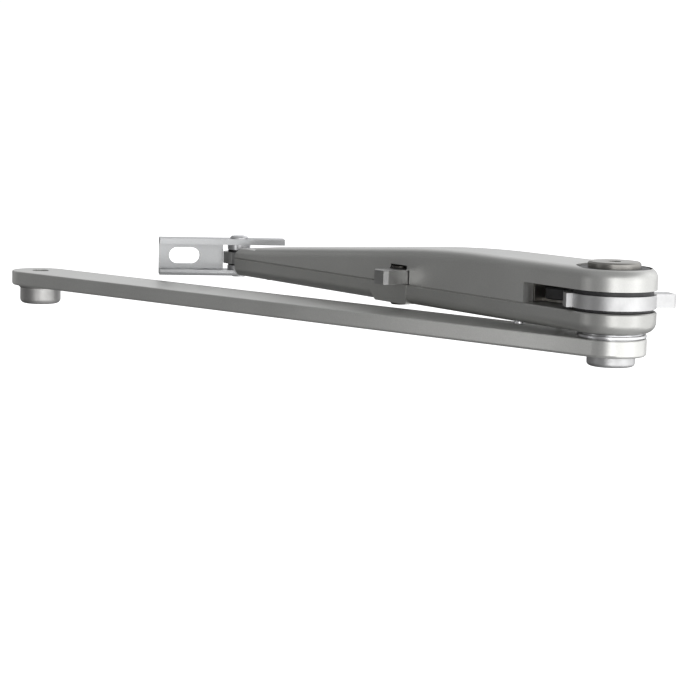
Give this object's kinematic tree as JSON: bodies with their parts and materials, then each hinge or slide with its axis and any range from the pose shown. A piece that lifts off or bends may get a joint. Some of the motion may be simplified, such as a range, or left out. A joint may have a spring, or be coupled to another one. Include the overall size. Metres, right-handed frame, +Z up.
{
  "type": "door closer arm",
  "caption": "Folding two-link arm of a surface door closer: flat main arm, cast forearm with a sprung stop and hold-open lever at the elbow, and a pivoting frame shoe.",
  "frame": {"origin": "on the closer spindle's axis, level with the main arm's top face", "axes": "+X along the main arm from the spindle to the elbow, +Z up along the spindle, +Y towards the side that the forearm is folded to"},
  "size_m": [0.3722, 0.0922, 0.0465],
  "materials": {
    "arm_paint": "satin silver paint",
    "casting_paint": "satin silver paint on a die casting",
    "plated_steel": "zinc plated, turned",
    "ground_steel": "ground steel",
    "spring_steel": "dark spring wire",
    "black_nylon": "moulded nylon",
    "bronze": "sintered bronze bush",
    "shoe_steel": "satin silver paint on pressed steel"
  },
  "bodies": {
    "main_arm": {"main_arm": "arm_paint", "spindle_hub": "plated_steel", "elbow_stud": "plated_steel", "arm_spacer": "plated_steel", "lower_thrust_washer": "black_nylon", "stop_cam": "plated_steel", "cam_key": "ground_steel", "upper_thrust_washer": "black_nylon", "retaining_washer": "plated_steel", "stud_screw": "ground_steel"},
    "forearm": {"forearm_casing": "casting_paint", "forearm_plate": "casting_paint", "upper_elbow_bush": "bronze", "lower_elbow_bush": "bronze", "plate_screws": "plated_steel", "spring_seat": "ground_steel", "buffer_spring": "spring_steel", "pivot_eye": "ground_steel", "lower_eye_bush": "black_nylon", "upper_eye_bush": "black_nylon", "lever_pin": "ground_steel", "lever_clip": "spring_steel"},
    "plunger": {"plunger": "ground_steel", "roller_pin": "ground_steel"},
    "roller": {"roller": "black_nylon"},
    "hold_open_lever": {"hold_open_lever": "arm_paint"},
    "shoe": {"shoe_bracket": "shoe_steel", "pivot_screw": "plated_steel", "pivot_nut": "plated_steel", "upper_shoe_washer": "plated_steel", "lower_shoe_washer": "plated_steel"}
  },
  "joints": [
    {"name": "elbow_hinge", "type": "hinge", "parent": "main_arm", "child": "forearm", "pos_m": [0.34, 0, 0.015], "axis": [0, 0, 1], "range_deg": [-84, 10]},
    {"name": "shoe_hinge", "type": "hinge", "parent": "forearm", "child": "shoe", "pos_m": [0.08372, 0.05447, 0.0102], "axis": [0, 0, 1], "range_deg": [-40, 50]},
    {"name": "plunger_slide", "type": "slide", "parent": "forearm", "child": "plunger", "axis": [-0.9781, 0.2079, 0], "range_m": [0, 0.004], "stiffness_N_per_m": 20000, "springref_m": -0.006, "deforming": ["buffer_spring"]},
    {"name": "roller_spin", "type": "hinge", "parent": "plunger", "child": "roller", "pos_m": [0.31251, 0.00584, 0.0152], "axis": [0, 0, 1], "continuous": true},
    {"name": "lever_hinge", "type": "hinge", "parent": "forearm", "child": "hold_open_lever", "pos_m": [0.21842, 0.0148, 0.015], "axis": [0, 0, 1], "range_deg": [-16, 0]}
  ]
}
